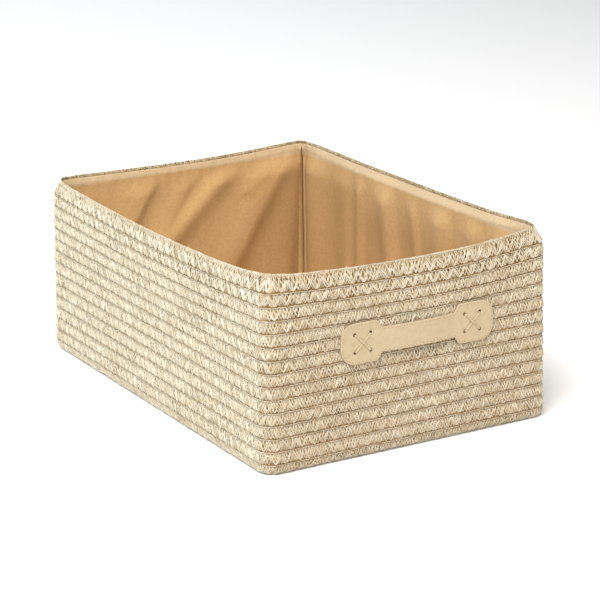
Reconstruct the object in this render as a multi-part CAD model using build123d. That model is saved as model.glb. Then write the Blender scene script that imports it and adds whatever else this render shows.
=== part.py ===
from build123d import *
import os

# A rectangular storage bin. Its shell is flat plaited tape, sewn in level courses that lap like
# shingles: the lower edge of each course stands outside the upper edge of the one below. Inside are a
# stiffening board, a loose cloth lining and a base board. Each short wall carries a strap handle that
# is laced on with two crossed cords at each end.
#
# Millimetres. The origin is the middle of the underside, +Z is up, the short walls face -Y (front)
# and +Y (back), and the long walls face -X (left) and +X (right).
# An inset is how far a face lies inside the widest outline of the bin.

# Driving dimensions
BIN_WIDTH = 272.0
BIN_DEPTH = 394.0
BIN_HEIGHT = 160.0
CORNER_RADIUS = 14.0
WALL_LEAN = 3.0  # how far the rim stands inside the foot, on each side

# Plaited shell
TAPE_WIDTH = 14.2
TAPE_THICKNESS = 1.2
COURSE_COUNT = 15
FOOT_HEIGHT = 8.9  # the part of the lowest course that shows below the second
FOOT_RADIUS = 6.0  # of the turn from the wall to the underside
FOOT_CLEARANCE = 0.3  # the foot course stays this far above the underside
FLANGE_INSET = 8.0  # where the foot course ends and the base begins
BASE_THICKNESS = 2.4
LAP_GAP = 0.03  # between two lapped courses

# Boards and lining
SHELL_DEPTH = 2.9  # from the outermost face of the shell to the stiffening board
BOARD_THICKNESS = 1.2
BOARD_TOP = 150.0
BOARD_JOINT_PLACE = 0.72  # along the right wall, from the front
BOARD_JOINT_GAP = 1.0
BASE_BOARD_THICKNESS = 2.0
BASE_BOARD_MARGIN = 0.4  # between the base board and the foot of the lining
LINING_THICKNESS = 1.0
LINING_TOP = 157.5

# Handles
HANDLE_LENGTH = 144.0
HANDLE_HEIGHT = 96.0  # of the strap's middle line, above the underside
FRONT_HANDLE_OFFSET = 5.0  # to the right of the wall's middle
BACK_HANDLE_OFFSET = 0.0
STRAP_THICKNESS = 2.2
STRAP_REST = 0.05  # between the tabs and the shell
TAB_LENGTH = 37.4
TAB_HEIGHT = 33.6
TAB_END_RADIUS = 13.0
TAB_SHOULDER_RUN = 3.5
TAB_SHOULDER_RADIUS = 2.0
GRIP_HEIGHT = 20.4
GRIP_STANDOFF = 1.0  # the grip bows away from the shell by this much at rest
GRIP_CLEARANCE = 0.3  # between the grip and each tab

# Lacing
HOLE_SPACING = 14.6
HOLE_INSET = 20.2  # from a tab's outer end to the middle of its holes
HOLE_RADIUS = 1.3
LACE_RADIUS = 1.0
LACE_BEND = 1.4
LACE_DEPTH = 2.6  # how far the lacing reaches into the shell

# Sizes that follow
LAP = TAPE_WIDTH - (BIN_HEIGHT - TAPE_WIDTH - FOOT_HEIGHT) / (COURSE_COUNT - 2)
PITCH = TAPE_WIDTH - LAP
COURSE_SLOPE = (TAPE_THICKNESS + LAP_GAP) / PITCH
BOARD_FOOT = BASE_THICKNESS + BASE_BOARD_THICKNESS
LINING_INSET = SHELL_DEPTH + BOARD_THICKNESS
GRIP_HALF = HANDLE_LENGTH / 2 - TAB_LENGTH
HOLE_CENTRE = HANDLE_LENGTH / 2 - HOLE_INSET


def lean(height):
    """Inset of the shell's outermost line at a height."""
    return WALL_LEAN * height / BIN_HEIGHT


def outline(inset, height):
    """Plan of the bin, drawn in by an inset, at a height."""
    width = BIN_WIDTH - 2 * inset
    depth = BIN_DEPTH - 2 * inset
    return Pos(0, 0, height) * RectangleRounded(width, depth, CORNER_RADIUS - inset)


def block(low_inset, high_inset, low, high):
    """Solid block between two plans of the bin."""
    return loft([outline(low_inset, low), outline(high_inset, high)], ruled=True)


def ring(low_inset, high_inset, thickness, low, high):
    """Wall of even thickness all round the bin."""
    outside = block(low_inset, high_inset, low, high)
    return outside - block(low_inset + thickness, high_inset + thickness, low, high)


def course_low(number):
    """Height of the lower edge of a course, counted from 1 at the foot."""
    return FOOT_HEIGHT + (number - 2) * PITCH


def course_inset(number, height):
    """Inset of a course's outer face at a height."""
    return lean(height) + COURSE_SLOPE * (height - course_low(number))


def upright_course(number):
    """One course of tape, all round the bin."""
    low = course_low(number)
    high = low + TAPE_WIDTH
    return ring(course_inset(number, low), course_inset(number, high), TAPE_THICKNESS, low, high)


def foot_course():
    """Lowest course, which turns under the bin and ends in a flange round the base."""
    high = course_low(1) + TAPE_WIDTH
    low = FOOT_CLEARANCE
    top_inset = course_inset(1, high)
    outside = block(course_inset(1, low), top_inset, low, high)
    outside = fillet(outside.edges().group_by(Axis.Z)[0], FOOT_RADIUS)
    floor = low + TAPE_THICKNESS
    inside = block(course_inset(1, floor) + TAPE_THICKNESS, top_inset + TAPE_THICKNESS, floor, high)
    inside = fillet(inside.edges().group_by(Axis.Z)[0], FOOT_RADIUS - TAPE_THICKNESS)
    return outside - inside - block(FLANGE_INSET, FLANGE_INSET, low, floor)


def base_braid():
    """Base of the shell, which the bin stands on."""
    return block(FLANGE_INSET, FLANGE_INSET, 0, BASE_THICKNESS)


def wall_stiffener():
    """One strip of board bent round the inside of the shell, with its joint in the right wall."""
    board = ring(
        SHELL_DEPTH + lean(BOARD_FOOT), SHELL_DEPTH + lean(BOARD_TOP), BOARD_THICKNESS, BOARD_FOOT, BOARD_TOP
    )
    joint_y = (BOARD_JOINT_PLACE - 0.5) * BIN_DEPTH
    joint = Pos(BIN_WIDTH / 2, joint_y, BIN_HEIGHT / 2) * Box(
        2 * CORNER_RADIUS, BOARD_JOINT_GAP, BIN_HEIGHT
    )
    return board - joint


def base_board():
    """Flat board that lies on the base, inside the stiffener."""
    inset = LINING_INSET + lean(BOARD_FOOT) + BASE_BOARD_MARGIN
    return block(inset, inset, BASE_THICKNESS, BOARD_FOOT)


def lining_wall(first_corner, second_corner):
    """Lining of one wall, from corner seam to corner seam. A corner is a pair of signs."""
    wall = ring(
        LINING_INSET + lean(BOARD_FOOT),
        LINING_INSET + lean(LINING_TOP),
        LINING_THICKNESS,
        BOARD_FOOT,
        LINING_TOP,
    )
    centres = []
    seams = []
    for x_sign, y_sign in (first_corner, second_corner):
        centre = Vector(x_sign * (BIN_WIDTH / 2 - CORNER_RADIUS), y_sign * (BIN_DEPTH / 2 - CORNER_RADIUS))
        centres.append(centre)
        seams.append(centre + Vector(x_sign * CORNER_RADIUS, y_sign * CORNER_RADIUS))
    sector = make_face(Polyline(seams[0], seams[1], centres[1], centres[0], close=True))
    return wall & extrude(sector, BIN_HEIGHT)


def lining_base():
    """Lining of the floor, inside the lining of the walls."""
    inset = LINING_INSET + LINING_THICKNESS + lean(BOARD_FOOT + LINING_THICKNESS)
    return block(inset, inset, BOARD_FOOT, BOARD_FOOT + LINING_THICKNESS)


def handle_plane(offset):
    """Plane on the front wall, with x to the right, y up the wall and z out of it."""
    origin = (offset, lean(HANDLE_HEIGHT) - BIN_DEPTH / 2, HANDLE_HEIGHT)
    return Plane(origin, x_dir=(1, 0, 0), z_dir=(0, -BIN_HEIGHT, WALL_LEAN))


def hole_places(side):
    """The four hole centres of a tab: side is -1 for the left one and +1 for the right one."""
    return [
        (side * HOLE_CENTRE + column * HOLE_SPACING / 2, row * HOLE_SPACING / 2)
        for column in (-1, 1)
        for row in (-1, 1)
    ]


def lace_holes(low, high):
    """Cylinders for the holes of both tabs, between two distances from the wall."""
    bore = Cylinder(HOLE_RADIUS, high - low, align=(Align.CENTER, Align.CENTER, Align.MIN))
    return [Pos(x, y, low) * bore for side in (-1, 1) for x, y in hole_places(side)]


def tab(side):
    """End of a strap that is laced to the wall: wide, with a round outer end and sloped shoulders."""
    inner = side * GRIP_HALF
    shoulder = side * (GRIP_HALF + TAB_SHOULDER_RUN)
    outer = side * HANDLE_LENGTH / 2
    half_grip = GRIP_HEIGHT / 2
    half_tab = TAB_HEIGHT / 2
    corners = [
        (inner, -half_grip),
        (shoulder, -half_tab),
        (outer, -half_tab),
        (outer, half_tab),
        (shoulder, half_tab),
        (inner, half_grip),
    ]
    face = make_face(Polyline(*corners, close=True))
    by_distance = face.vertices().sort_by(lambda corner: abs(corner.X))
    face = fillet(by_distance[-2:], TAB_END_RADIUS)
    by_distance = face.vertices().sort_by(lambda corner: abs(corner.X))
    face = fillet(by_distance[2:4], TAB_SHOULDER_RADIUS)
    return Pos(0, 0, STRAP_REST) * extrude(face, STRAP_THICKNESS) - lace_holes(0, 2 * STRAP_THICKNESS)


def grip():
    """Narrow middle of a strap, which the fingers pull away from the wall."""
    length = 2 * (GRIP_HALF - GRIP_CLEARANCE)
    lift = STRAP_REST + GRIP_STANDOFF + STRAP_THICKNESS / 2
    return Pos(0, 0, lift) * Box(length, GRIP_HEIGHT, STRAP_THICKNESS)


def lace(start, end, level):
    """One cord: out through a hole, across the tab at a level, and in through the opposite hole."""
    path = FilletPolyline(
        (*start, -LACE_DEPTH), (*start, level), (*end, level), (*end, -LACE_DEPTH), radius=LACE_BEND
    )
    return sweep(Plane(path @ 0, z_dir=path % 0) * Circle(LACE_RADIUS), path=path)


def cross_laces():
    """The two crossed cords of each tab. The one that rises to the left lies on top."""
    lower = STRAP_REST + STRAP_THICKNESS + LACE_RADIUS
    upper = lower + 2 * LACE_RADIUS + STRAP_REST
    laces = []
    for side in (-1, 1):
        low_left, high_left, low_right, high_right = hole_places(side)
        laces.append(lace(low_left, high_right, lower))
        laces.append(lace(high_left, low_right, upper))
    return laces


def handle_nodes(name, place):
    """The nodes of one handle, moved from the front wall's plane to their place."""
    return {
        f"{name}_handle_tab_left": place * tab(-1),
        f"{name}_handle_grip": place * grip(),
        f"{name}_handle_tab_right": place * tab(1),
        f"{name}_handle_cross_laces": Compound([place * cord for cord in cross_laces()]),
    }


def course_with_holes(number, holes):
    """One upright course, with the lacing holes that pass through it."""
    course = upright_course(number)
    half_band = HOLE_SPACING / 2 + 2 * HOLE_RADIUS
    middle = course_low(number) + TAPE_WIDTH / 2
    if abs(middle - HANDLE_HEIGHT) < half_band + TAPE_WIDTH / 2:
        course -= holes
    return course


front_place = handle_plane(FRONT_HANDLE_OFFSET).location
back_place = Rot(0, 0, 180) * handle_plane(BACK_HANDLE_OFFSET).location
holes = [place * hole for place in (front_place, back_place) for hole in lace_holes(-2 * LACE_DEPTH, 0)]

nodes = {"braid_course_01": foot_course()}
for number in range(2, COURSE_COUNT + 1):
    nodes[f"braid_course_{number:02d}"] = course_with_holes(number, holes)
nodes["base_braid"] = base_braid()
nodes["wall_stiffener"] = wall_stiffener()
nodes["base_board"] = base_board()
nodes["lining_front"] = lining_wall((-1, -1), (1, -1))
nodes["lining_right"] = lining_wall((1, -1), (1, 1))
nodes["lining_back"] = lining_wall((1, 1), (-1, 1))
nodes["lining_left"] = lining_wall((-1, 1), (-1, -1))
nodes["lining_base"] = lining_base()
nodes |= handle_nodes("front", front_place)
nodes |= handle_nodes("back", back_place)

os.makedirs("parts", exist_ok=True)
for name, shape in nodes.items():
    export_step(shape, f"parts/{name}.step")
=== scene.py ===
import math
from collections import namedtuple
from itertools import product

import bmesh
import bpy
import numpy as np
from mathutils import Matrix, Vector


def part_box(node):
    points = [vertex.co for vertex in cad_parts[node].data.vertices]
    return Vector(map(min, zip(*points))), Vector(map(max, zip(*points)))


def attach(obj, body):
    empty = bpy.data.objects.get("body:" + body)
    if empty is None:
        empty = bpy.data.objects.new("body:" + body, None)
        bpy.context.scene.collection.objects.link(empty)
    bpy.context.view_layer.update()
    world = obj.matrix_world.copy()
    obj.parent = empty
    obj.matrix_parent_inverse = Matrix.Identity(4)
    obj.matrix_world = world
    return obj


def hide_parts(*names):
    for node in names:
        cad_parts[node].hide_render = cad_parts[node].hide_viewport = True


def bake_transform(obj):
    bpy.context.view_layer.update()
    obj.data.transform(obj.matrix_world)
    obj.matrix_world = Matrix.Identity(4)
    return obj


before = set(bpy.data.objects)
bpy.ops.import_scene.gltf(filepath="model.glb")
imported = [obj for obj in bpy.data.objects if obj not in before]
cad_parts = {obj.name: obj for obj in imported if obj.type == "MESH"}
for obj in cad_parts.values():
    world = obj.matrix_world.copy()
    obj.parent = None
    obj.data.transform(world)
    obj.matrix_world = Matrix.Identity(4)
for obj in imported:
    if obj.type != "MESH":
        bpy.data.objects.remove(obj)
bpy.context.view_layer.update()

# The looks of a lined storage bin of plaited tape. Metres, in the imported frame: +Z up, the front short
# wall faces -Y. Lengths below are in millimetres times MM.
MM = 0.001
WELD_DISTANCE = 0.0001 * MM

# Heights, from the frame
BOARD_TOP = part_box("wall_stiffener")[1].z
LINING_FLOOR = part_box("lining_base")[1].z
LINING_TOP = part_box("lining_front")[1].z

# Courses of plaited tape, from the frame
COURSES = sorted(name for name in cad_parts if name.startswith("braid_course_"))
FOOT_COURSE, RIM_COURSE = COURSES[0], COURSES[-1]
FIRST_LOW, FIRST_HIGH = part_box(COURSES[1])  # the lowest course that stands upright all the way
RIM_LOW, RIM_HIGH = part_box(RIM_COURSE)
PITCH = (RIM_LOW.z - FIRST_LOW.z) / (len(COURSES) - 2)
TAPE_WIDTH = RIM_HIGH.z - RIM_LOW.z
BIN_HEIGHT = RIM_HIGH.z
LEAN = (FIRST_HIGH.x - RIM_HIGH.x) / (RIM_LOW.z - FIRST_LOW.z)
CORNER_RADIUS = 14.0 * MM  # in plan, at the foot
SHARPEST_CORNER = 0.1 * MM  # of a base course's inner edge
TAPE_THICKNESS = 1.2 * MM
LAP_SLOPE = TAPE_THICKNESS / PITCH
FOOT_TURN = 5.4 * MM  # radius of the turn under the bin
FOOT_CLEARANCE = 0.45 * MM
FOOT_LIP = 2.5 * MM  # how far the tape runs on under the bin

# The soft shape of the walls: how the rim hangs and leans between stiff corners. A corner is named by the
# signs of its x and y.
SAG_START = 0.45  # share of the height where it begins
SHORT_SAG, LONG_SAG = 3.5 * MM, 2.9 * MM
SHORT_BOW, LONG_BOW = -1.0 * MM, 4.8 * MM  # outward
CORNER_RISES = {(1, -1): 4.0 * MM, (1, 1): 1.5 * MM, (-1, 1): -1.5 * MM, (-1, -1): 1.0 * MM}
RISE_REACH = 40.0 * MM
CORNER_PINCHES = {(1, -1): 7.5 * MM, (1, 1): 5.0 * MM, (-1, 1): 6.0 * MM, (-1, -1): 9.5 * MM}
PINCH_REACH = 17.0 * MM
PINCH_START = 0.90  # share of the height where the corners begin to lean in
PINCH_LIMIT = 1.1  # the lean's largest share, above the rim

# The tape and its strands
ZIGZAG_PERIOD = 10.6 * MM
STRAND_SPACING = 1.0 * MM
STRAND_HALF_WIDTH = 0.38 * MM
STRAND_HALF_HEIGHT = 0.30 * MM
ZIGZAG_SHARPNESS = 0.985
LAYER_DRIFT = 0.9 * MM  # stray of a whole layer along the tape, for a wobble of 1
STRAY_ALONG, STRAY_ACROSS = 0.30 * MM, 0.4 * MM  # of one strand, for a wobble of 1
STRAY_NEAR_TIP = 0.3  # share of the stray across that is left at the lower tips
STRAY_OUT = 0.16 * MM
WIDTH_SPREAD = 0.16
EDGE_MARGIN = 0.3 * MM
TINTS = 100  # each strand has a random place in the tint's noise
TAPE_BULGE = 0.95 * MM
BULGE_FLATNESS = 0.45  # 1 is a sine, less is flatter in the middle and steeper at the edges
EDGE_LIFT = 0.1 * MM  # how far the lower edge of a tape stands off the tape below it

# The chain stitch along the edges of the tape
CHAIN_PITCH = 2.7 * MM
CHAIN_SAMPLES = 4
CHAIN_RADIUS = 0.27 * MM
CHAIN_WAIST, CHAIN_SWELL = 0.75, 0.35  # shares of the radius: between stitches, and added in their middle
CHAIN_FLATNESS = 1.15
CHAIN_LEVEL = 0.1 * MM
CHAIN_STRAY = 0.08 * MM
STRAY_STITCHES = 3  # from one random value of the stray to the next


def new_object(name, data, materials=()):
    """A new object in the scene."""
    for material in materials:
        data.materials.append(material)
    holder = bpy.data.objects.new(name, data)
    bpy.context.scene.collection.objects.link(holder)
    return holder


def smoothstep(value, low, high):
    """0 below low, 1 above high, and a smooth rise between them."""
    share = np.clip((value - low) / (high - low), 0.0, 1.0)
    return share * share * (3.0 - 2.0 * share)


def bell(away, reach):
    """1 where away is 0, and a smooth fall to nothing past a few reaches."""
    return np.exp(-0.5 * (away / reach) ** 2)


def wander(rng, count, knots, size):
    """Smooth random values at count places round a closed path."""
    values = rng.normal(0.0, size, knots)
    places = np.arange(count) * knots / count
    low = places.astype(int)
    share = smoothstep(places - low, 0.0, 1.0)
    return values[low % knots] * (1.0 - share) + values[(low + 1) % knots] * share


class Outline:
    """Rounded rectangle in plan. Distances along it start in the middle of the front wall and go to +X."""

    def __init__(self, half_x, half_y, radius):
        self.radius = radius
        self.straight_x = half_x - radius
        self.straight_y = half_y - radius
        arc = math.pi / 2 * radius
        x, y = self.straight_x, self.straight_y
        self.knots = np.cumsum([0, x, arc, 2 * y, arc, 2 * x, arc, 2 * y, arc, x])
        self.length = self.knots[-1]
        self.angles = np.radians([-90, -90, 0, 0, 90, 90, 180, 180, 270, 270])
        self.centres_x = [0, x, x, x, x, -x, -x, -x, -x, 0]
        self.centres_y = [-y, -y, -y, y, y, y, y, -y, -y, -y]

    def at(self, along):
        """Centres of curvature, outward normals and slack at distances along the outline.
        Slack is 1 in the middle of a wall and 0 at the corners."""
        along = np.mod(along, self.length)
        angle = np.interp(along, self.knots, self.angles)
        x = np.interp(along, self.knots, self.centres_x)
        y = np.interp(along, self.knots, self.centres_y)
        centre = np.stack([x, y], -1)
        normal = np.stack([np.cos(angle), np.sin(angle)], -1)
        share = centre / (self.straight_x, self.straight_y)
        return centre, normal, 2.0 - (share**2).sum(-1)


FOOT_OUTLINE = Outline(FIRST_HIGH.x, FIRST_HIGH.y, CORNER_RADIUS)


def soften(plan, normal, slack, offset, height):
    """The soft shape of a wall: new offset outward and new height of points near the shell."""
    short = normal[..., 1] ** 2
    upper = smoothstep(height, SAG_START * BIN_HEIGHT, BIN_HEIGHT)
    rise = -slack * (SHORT_SAG * short + LONG_SAG * (1.0 - short))
    shift = upper * slack * (SHORT_BOW * short + LONG_BOW * (1.0 - short))
    pinch = np.clip((height / BIN_HEIGHT - PINCH_START) / (1.0 - PINCH_START), 0.0, PINCH_LIMIT)
    for corner, peak in CORNER_RISES.items():
        away = np.hypot(plan[..., 0] - corner[0] * FIRST_HIGH.x, plan[..., 1] - corner[1] * FIRST_HIGH.y)
        rise = rise + peak * bell(away, RISE_REACH)
        shift = shift - CORNER_PINCHES[corner] * pinch * bell(away, PINCH_REACH)
    return offset + shift, height + upper * rise


def shell_points(outline, along, offset, height):
    """Points at distances along an outline, offset outward, at heights, with the shell's soft shape."""
    centre, normal, slack = outline.at(along)
    plan = centre + normal * outline.radius
    offset, height = soften(plan, normal, slack, offset, height)
    plan = plan + normal * offset[..., None]
    return np.concatenate([plan, height[..., None]], -1), normal


class UprightTape:
    """A course that stands in the wall: its lower edge is outermost and its upper edge lies deeper."""

    def __init__(self, node):
        low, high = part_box(node)
        self.low = low.z
        self.width = high.z - low.z
        radius = CORNER_RADIUS - (FIRST_HIGH.x - high.x)
        self.outline = Outline(high.x, high.y, radius)

    def place(self, along, across, out):
        """Points at distances along and across the tape and out of its middle, and outward directions."""
        share = np.clip(across / PITCH, 0.0, 1.0)
        bulge = TAPE_BULGE * np.sin(math.pi * share) ** BULGE_FLATNESS
        bulge = bulge + EDGE_LIFT * np.cos(math.pi / 2 * share)
        offset = out + bulge - TAPE_THICKNESS / 2 - (LAP_SLOPE + LEAN) * across
        points, normal = shell_points(self.outline, along, offset, self.low + across)
        return points, np.concatenate([normal, np.zeros_like(normal[..., :1])], -1)


class FootTape:
    """The lowest course: upright behind the course above, then turned under the bin."""

    def __init__(self, node):
        low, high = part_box(node)
        self.top = high.z
        self.outline = FOOT_OUTLINE
        self.straight = self.top - FOOT_CLEARANCE - TAPE_THICKNESS / 2 - FOOT_TURN
        self.width = self.straight + FOOT_TURN * math.pi / 2 + FOOT_LIP

    def place(self, along, across, out):
        """The same as for an upright tape."""
        down = self.width - across
        turn = np.clip((down - self.straight) / FOOT_TURN, 0.0, math.pi / 2)
        under = np.maximum(down - self.straight - FOOT_TURN * math.pi / 2, 0.0)
        upright = np.clip(self.straight - down, 0.0, None)
        reach = FOOT_TURN + out
        depth = LAP_SLOPE * upright + TAPE_THICKNESS / 2
        offset = reach * np.cos(turn) - FOOT_TURN - under - depth
        height = self.top - self.straight + upright - reach * np.sin(turn)
        points, normal = shell_points(self.outline, along, offset, height)
        up = -np.sin(turn)[..., None]
        return points, np.concatenate([normal * np.cos(turn)[..., None], up], -1)


class BaseTape:
    """A course of the flat base, whose outer edge lies along an outline."""

    def __init__(self, half_x, half_y, radius, height):
        self.outline = Outline(half_x, half_y, radius)
        self.height = height

    def place(self, along, across, out):
        """The same as for an upright tape."""
        centre, normal, _ = self.outline.at(along)
        radius = np.maximum(self.outline.radius - across, SHARPEST_CORNER)
        shift = np.maximum(across - self.outline.radius, 0.0)
        plan = centre - np.sign(centre) * shift[..., None] + normal * radius[..., None]
        points = np.concatenate([plan, (self.height - out)[..., None]], -1)
        return points, np.broadcast_to((0.0, 0.0, -1.0), points.shape)


class Geometry:
    """Vertices and faces that are gathered into one mesh."""

    def __init__(self):
        self.vertices = []
        self.faces = []
        self.slots = []
        self.strands = []
        self.count = 0

    def add(self, vertices, faces, slot=0, strand=0.0):
        """Adds a patch of vertices and the quads between them."""
        self.vertices.append(vertices.reshape(-1, 3))
        self.faces.append(faces + self.count)
        self.slots.append(np.full(len(faces), slot))
        self.strands.append(np.full(len(self.vertices[-1]), strand))
        self.count += len(self.vertices[-1])

    def add_ribbon(self, path, out, half_width, half_height, slot, strand):
        """Adds a closed strand of four sides that follows a closed path. Sizes may vary along it."""
        tangent = np.roll(path, -1, 0) - np.roll(path, 1, 0)
        side = np.cross(out, tangent)
        side /= np.linalg.norm(side, axis=1, keepdims=True)
        wide = side * np.reshape(half_width, (-1, 1))
        tall = out * np.reshape(half_height, (-1, 1))
        ring = np.stack([path + tall, path + wide, path - tall, path - wide], 1)
        self.add(ring, closed_faces(len(path), 4), slot, strand)

    def make(self, name, materials):
        """Makes the mesh object."""
        mesh = bpy.data.meshes.new(name)
        vertices = np.concatenate(self.vertices)
        faces = np.concatenate(self.faces)
        mesh.vertices.add(len(vertices))
        mesh.vertices.foreach_set("co", vertices.ravel())
        mesh.loops.add(faces.size)
        mesh.loops.foreach_set("vertex_index", faces.ravel())
        mesh.polygons.add(len(faces))
        mesh.polygons.foreach_set("loop_start", np.arange(0, faces.size, 4))
        mesh.polygons.foreach_set("material_index", np.concatenate(self.slots))
        mesh.polygons.foreach_set("use_smooth", np.ones(len(faces), bool))
        strand = mesh.attributes.new("strand", "FLOAT", "POINT")
        strand.data.foreach_set("value", np.concatenate(self.strands))
        mesh.update(calc_edges=True)
        mesh.validate()
        return new_object(name, mesh, materials)


def weld(piece):
    """Joins a piece's vertices that lie on one another, and deletes the edges that have no face then."""
    mesh = bmesh.new()
    mesh.from_mesh(piece.data)
    bmesh.ops.remove_doubles(mesh, verts=mesh.verts, dist=WELD_DISTANCE)
    loose = [edge for edge in mesh.edges if not edge.link_faces]
    bmesh.ops.delete(mesh, geom=loose, context="EDGES")
    mesh.to_mesh(piece.data)
    mesh.free()


def closed_faces(rings, sides):
    """Quads of a surface that closes both along its rings and round its sides."""
    ring = np.arange(rings)[:, None]
    side = np.arange(sides)[None, :]
    here = ring * sides
    ahead = (ring + 1) % rings * sides
    beside = (side + 1) % sides
    return np.stack([here + side, ahead + side, ahead + beside, here + beside], -1).reshape(-1, 4)


def tube_faces(rings, sides):
    """Quads of a surface that closes round its sides and is open at its first and last ring."""
    return closed_faces(rings, sides)[:-sides]


def open_faces(rows, columns):
    """Quads of a sheet of rows by columns of vertices."""
    row = np.arange(rows - 1)[:, None] * columns
    column = np.arange(columns - 1)[None, :]
    here = row + column
    return np.stack([here, here + 1, here + columns + 1, here + columns], -1).reshape(-1, 4)


# The plait of the two upper courses, whose zigzags stand out, and of the rest, where they are closer.
# A zigzag carries evenly spread groups of strands that run side by side, a spacing apart. Phases are shares
# of a zigzag, level is out from the middle of the tape, low and high are where the tips lie across it, and
# girth is a factor on the strands' width. The slots are those of a course's materials.
Layer = namedtuple("Layer", "phase groups strands spacing level low high wobble samples girth slot")
# Slots for painted shade: the strands behind the top ones, and the dark strip under a course's edge
BRIGHT, PAINTED_UNDER_SHADE, PAINTED_SEAM_SHADE, DULL = range(4)
FULL = TAPE_WIDTH - 0.6 * MM  # tips that reach almost to the tape's upper edge
OPEN_PLAIT = [
    Layer(0.0, 1, 3, STRAND_SPACING, 0.45 * MM, 1.4 * MM, 9.6 * MM, 0.9, 10, 1.0, BRIGHT),
    Layer(0.5, 3, 1, 0.0, 0.15 * MM, 1.8 * MM, FULL, 1.2, 8, 1.0, BRIGHT),
    Layer(0.3, 3, 1, 0.0, 0.00 * MM, 1.5 * MM, FULL, 1.2, 8, 1.0, DULL),
    Layer(0.1, 5, 1, 0.0, -0.40 * MM, 1.7 * MM, FULL, 1.0, 6, 1.4, PAINTED_UNDER_SHADE),
]
CLOSE_PLAIT = [
    Layer(0.0, 1, 2, STRAND_SPACING, 0.38 * MM, 1.3 * MM, 9.4 * MM, 1.0, 8, 0.9, BRIGHT),
    Layer(0.0, 4, 1, 0.0, 0.18 * MM, 1.4 * MM, FULL, 0.9, 8, 0.9, BRIGHT),
    Layer(0.1, 4, 1, 0.0, 0.02 * MM, 1.5 * MM, FULL, 1.1, 8, 0.9, DULL),
    Layer(0.1, 5, 1, 0.0, -0.32 * MM, 1.7 * MM, FULL, 1.0, 6, 1.6, PAINTED_UNDER_SHADE),
]
OPEN_COURSES = 2

# Strips behind the strands: the dark one along the lower edge of a course, which is painted shade standing
# in for the shadowed crevice of the seam, and the rim's
STRIP_LEVEL, STRIP_HALF_THICKNESS = -0.30 * MM, 0.12 * MM
STRIP_BEAT = 0.45  # share of its width by which a strip swells and narrows at each chain stitch
STRIP_STRAY = 0.12 * MM
SEAM_SHADE_PLACE, SEAM_SHADE_HALF_WIDTH = 0.85 * MM, 0.62 * MM
RIM_STRIP_PLACE, RIM_STRIP_HALF_WIDTH = 2.3 * MM, 1.7 * MM  # the place is down from the top edge
RIM_CHAIN_PLACES = 0.3 * MM, 0.9 * MM  # down from the top edge
COURSE_SEED = 100


def add_zigzags(geometry, tape, rng, layer, phase):
    """Adds the strands of a layer, which run in zigzags from edge to edge of a tape, side by side."""
    zigzags = round(tape.outline.length / ZIGZAG_PERIOD)
    period = tape.outline.length / zigzags
    count = zigzags * layer.samples
    turn = np.arange(count) * 2 * math.pi / layer.samples
    share = 0.5 - np.arcsin(ZIGZAG_SHARPNESS * np.cos(turn)) / (2 * math.asin(ZIGZAG_SHARPNESS))
    drift = wander(rng, count, zigzags, LAYER_DRIFT * layer.wobble)
    for index in range(layer.groups * layer.strands):
        group, member = divmod(index, layer.strands)
        beside = group / layer.groups * period + member * layer.spacing
        along = (turn / (2 * math.pi) + phase + layer.phase) * period + beside + drift
        along = along + wander(rng, count, 2 * zigzags, STRAY_ALONG * layer.wobble)
        stray = wander(rng, count, 2 * zigzags, STRAY_ACROSS * layer.wobble) * (STRAY_NEAR_TIP + share)
        across = layer.low + share * (layer.high - layer.low) + stray
        out = layer.level + wander(rng, count, 2 * zigzags, STRAY_OUT)
        path, direction = tape.place(along, np.maximum(across, EDGE_MARGIN), out)
        width = layer.girth * STRAND_HALF_WIDTH * (1 + wander(rng, count, 3 * zigzags, WIDTH_SPREAD))
        geometry.add_ribbon(path, direction, width, STRAND_HALF_HEIGHT, layer.slot, rng.uniform(0, TINTS))


def edge_path(tape, rng, across, level, samples, stray):
    """Points and outward directions along a tape, with a number of samples for each chain stitch."""
    stitches = round(tape.outline.length / CHAIN_PITCH)
    count = stitches * samples
    along = np.arange(count) * tape.outline.length / count
    place = across + wander(rng, count, stitches // STRAY_STITCHES, stray)
    return tape.place(along, place, np.full(count, level))


def add_chain(geometry, tape, rng, across, samples=CHAIN_SAMPLES):
    """Adds a chain stitch that runs along a tape, at a place across it."""
    path, direction = edge_path(tape, rng, across, CHAIN_LEVEL, samples, CHAIN_STRAY)
    beat = 0.5 - 0.5 * np.cos(np.arange(len(path)) * 2 * math.pi / samples)
    radius = CHAIN_RADIUS * (CHAIN_WAIST + CHAIN_SWELL * beat)
    geometry.add_ribbon(path, direction, radius * CHAIN_FLATNESS, radius, BRIGHT, rng.uniform(0, TINTS))


def add_strip(geometry, tape, rng, across, half_width, slot):
    """Adds a thin strip behind the strands of a tape, wide and narrow by turns."""
    path, direction = edge_path(tape, rng, across, STRIP_LEVEL, 2, STRIP_STRAY)
    width = half_width * (1.0 + STRIP_BEAT * np.cos(math.pi * np.arange(len(path))))
    geometry.add_ribbon(path, direction, width, STRIP_HALF_THICKNESS, slot, rng.uniform(0, TINTS))


WHITE = (1.0, 1.0, 1.0)
MIX_FIRST, MIX_SECOND, MIX_RESULT = 6, 7, 2  # the colour sockets of a mix node


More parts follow.
